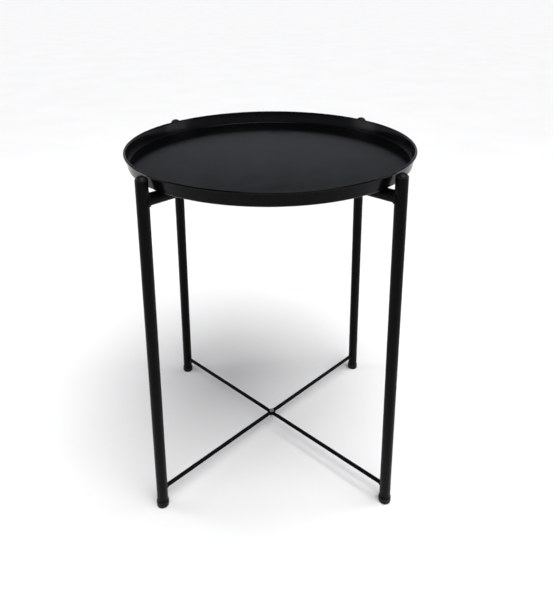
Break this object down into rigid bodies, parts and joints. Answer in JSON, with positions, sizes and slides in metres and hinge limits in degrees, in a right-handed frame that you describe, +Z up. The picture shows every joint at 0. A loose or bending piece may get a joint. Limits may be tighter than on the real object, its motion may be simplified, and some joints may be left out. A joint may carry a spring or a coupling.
{
  "type": "folding tray table",
  "caption": "Round lift-off tray with a low rolled wall, on crossed tubular leg frames that turn about a central pivot to fold.",
  "frame": {"origin": "on the floor, on the vertical pivot axis about which the leg frames turn, under the middle of the tray", "axes": "+Z up along the pivot axis; -Y is the front, midway between the two front legs; +X is the right-hand side seen from the front"},
  "size_m": [0.435, 0.435, 0.551],
  "materials": {
    "frame_powder_coat": "semi-matt black powder coat with a fine orange-peel texture",
    "tray_enamel": "smooth semi-gloss black powder coat",
    "black_plastic": "moulded black plastic, satin",
    "zinc_plated_steel": "bright zinc plating"
  },
  "bodies": {
    "main_frame": {"leg_front_left": "frame_powder_coat", "leg_rear_right": "frame_powder_coat", "top_cap_front_left": "black_plastic", "top_cap_rear_right": "black_plastic", "foot_front_left": "black_plastic", "foot_rear_right": "black_plastic", "upper_crossbar_main": "frame_powder_coat", "lower_rod_main": "frame_powder_coat", "weld_beads_main": "frame_powder_coat", "upper_pivot_screw": "zinc_plated_steel", "upper_pivot_washer": "zinc_plated_steel", "upper_pivot_nut": "zinc_plated_steel", "lower_pivot_screw": "zinc_plated_steel", "lower_pivot_nut": "zinc_plated_steel"},
    "turning_frame": {"leg_front_right": "frame_powder_coat", "leg_rear_left": "frame_powder_coat", "top_cap_front_right": "black_plastic", "top_cap_rear_left": "black_plastic", "foot_front_right": "black_plastic", "foot_rear_left": "black_plastic", "upper_crossbar_turning": "frame_powder_coat", "lower_rod_turning": "frame_powder_coat", "weld_beads_turning": "frame_powder_coat"},
    "tray": {"tray": "tray_enamel"}
  },
  "joints": [
    {"name": "frame_fold", "type": "hinge", "parent": "main_frame", "child": "turning_frame", "pos_m": [0, 0, 0.0314], "axis": [0, 0, 1], "range_deg": [-64, 55]},
    {"name": "tray_lift", "type": "slide", "parent": "main_frame", "child": "tray", "axis": [0, 0, 1], "range_m": [0, 0.12]}
  ]
}
